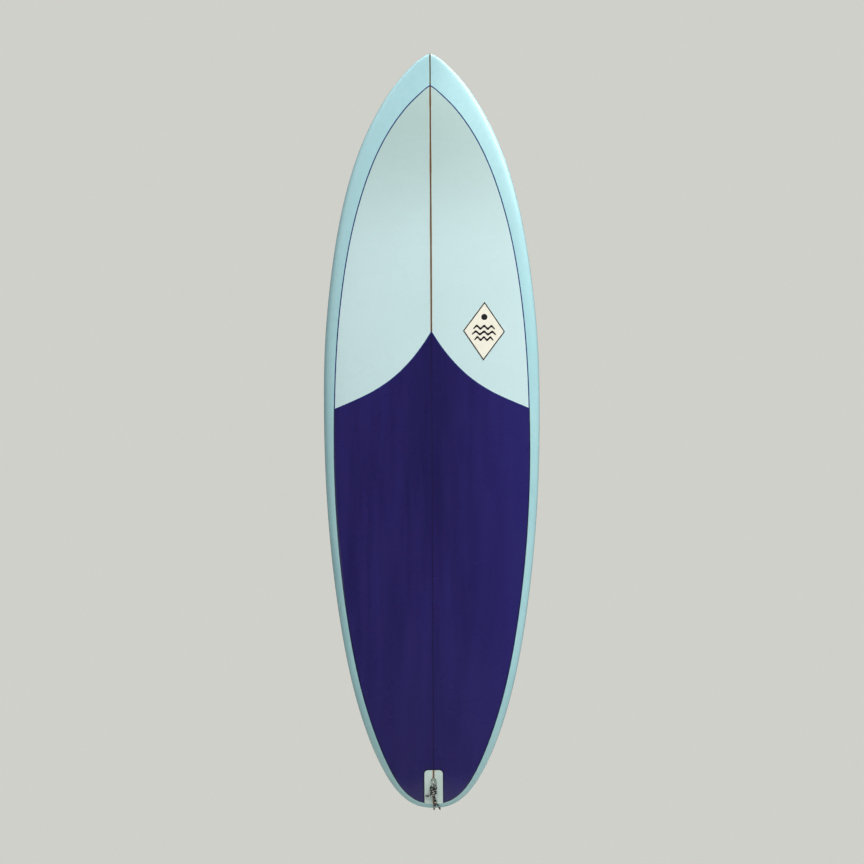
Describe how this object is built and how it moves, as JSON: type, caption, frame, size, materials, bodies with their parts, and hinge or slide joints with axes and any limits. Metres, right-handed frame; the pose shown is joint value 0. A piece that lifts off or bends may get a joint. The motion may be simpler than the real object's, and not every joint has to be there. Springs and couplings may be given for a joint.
{
  "type": "surfboard",
  "caption": "Surfboard with a pointed nose and rounded tail, tinted laminations over foam and a stringer, a glassed leash loop, and a long-box centre fin with side fins.",
  "frame": {"origin": "the point on the stringer line of the bottom, half-way along the board, where a wall rack bears", "axes": "+Z towards the nose; +Y out of the bottom, so the deck faces -Y; +X the right rail seen from the deck"},
  "size_m": [0.538, 0.2661, 1.8853],
  "materials": {
    "foam": "closed-cell polyurethane foam, matte",
    "stringer_wood": "thin brown wood strip",
    "blue_tinted_glass": "glass cloth in sky-blue tinted resin, gloss coat",
    "clear_deck_glass": "clear glass cloth over pale foam, gloss coat",
    "indigo_tinted_glass": "glass cloth in indigo tinted resin, gloss coat",
    "navy_resin": "pigmented resin line",
    "decal_paper": "printed cream paper under gloss",
    "loop_fibreglass": "clear fibreglass roving and resin",
    "flecked_cord": "braided polyester cord, black with white flecks",
    "box_plastic": "black moulded plastic",
    "fin_fibreglass": "polished solid fibreglass",
    "brass": "turned brass",
    "stainless_steel": "stainless steel"
  },
  "bodies": {
    "board": {"blank_left": "foam", "blank_right": "foam", "stringer": "stringer_wood", "bottom_glass": "blue_tinted_glass", "deck_glass_forward": "clear_deck_glass", "deck_glass_tail": "indigo_tinted_glass", "leash_window": "clear_deck_glass", "pinline": "navy_resin", "deck_decal": "decal_paper", "leash_loop": "loop_fibreglass", "leash_string": "flecked_cord", "centre_fin_box": "box_plastic", "side_fin_box_left": "box_plastic", "side_fin_box_right": "box_plastic"},
    "centre_fin": {"centre_fin": "fin_fibreglass", "centre_fin_pin": "brass", "centre_fin_plate": "stainless_steel"},
    "centre_fin_screw": {"centre_fin_screw": "stainless_steel"},
    "side_fin_left": {"side_fin_left": "fin_fibreglass"},
    "side_fin_right": {"side_fin_right": "fin_fibreglass"},
    "side_fin_screw_left_front": {"side_fin_screw_left_front": "stainless_steel"},
    "side_fin_screw_left_rear": {"side_fin_screw_left_rear": "stainless_steel"},
    "side_fin_screw_right_front": {"side_fin_screw_right_front": "stainless_steel"},
    "side_fin_screw_right_rear": {"side_fin_screw_right_rear": "stainless_steel"}
  },
  "joints": [
    {"name": "centre_fin_slide", "type": "slide", "parent": "board", "child": "centre_fin", "axis": [0, 0.0849, 0.9964], "range_m": [-0.0105, 0.01]},
    {"name": "centre_fin_screw_turn", "type": "hinge", "parent": "centre_fin", "child": "centre_fin_screw", "pos_m": [0, -0.0235, -0.66077], "axis": [0, 0.9964, -0.0849], "continuous": true},
    {"name": "side_fin_left_pull", "type": "slide", "parent": "board", "child": "side_fin_left", "axis": [0, 0.9979, -0.0649], "range_m": [0, 0.015]},
    {"name": "side_fin_right_pull", "type": "slide", "parent": "board", "child": "side_fin_right", "axis": [0, 0.9979, -0.0649], "range_m": [0, 0.015]},
    {"name": "side_fin_screw_left_front_turn", "type": "hinge", "parent": "board", "child": "side_fin_screw_left_front", "pos_m": [-0.17039, -0.02373, -0.54581], "axis": [0.4993, 0.8625, -0.0823], "continuous": true},
    {"name": "side_fin_screw_left_rear_turn", "type": "hinge", "parent": "board", "child": "side_fin_screw_left_rear", "pos_m": [-0.17342, -0.02749, -0.60361], "axis": [0.4993, 0.8625, -0.0823], "continuous": true},
    {"name": "side_fin_screw_right_front_turn", "type": "hinge", "parent": "board", "child": "side_fin_screw_right_front", "pos_m": [0.17039, -0.02373, -0.54581], "axis": [-0.4993, 0.8625, -0.0823], "continuous": true},
    {"name": "side_fin_screw_right_rear_turn", "type": "hinge", "parent": "board", "child": "side_fin_screw_right_rear", "pos_m": [0.17342, -0.02749, -0.60361], "axis": [-0.4993, 0.8625, -0.0823], "continuous": true}
  ]
}
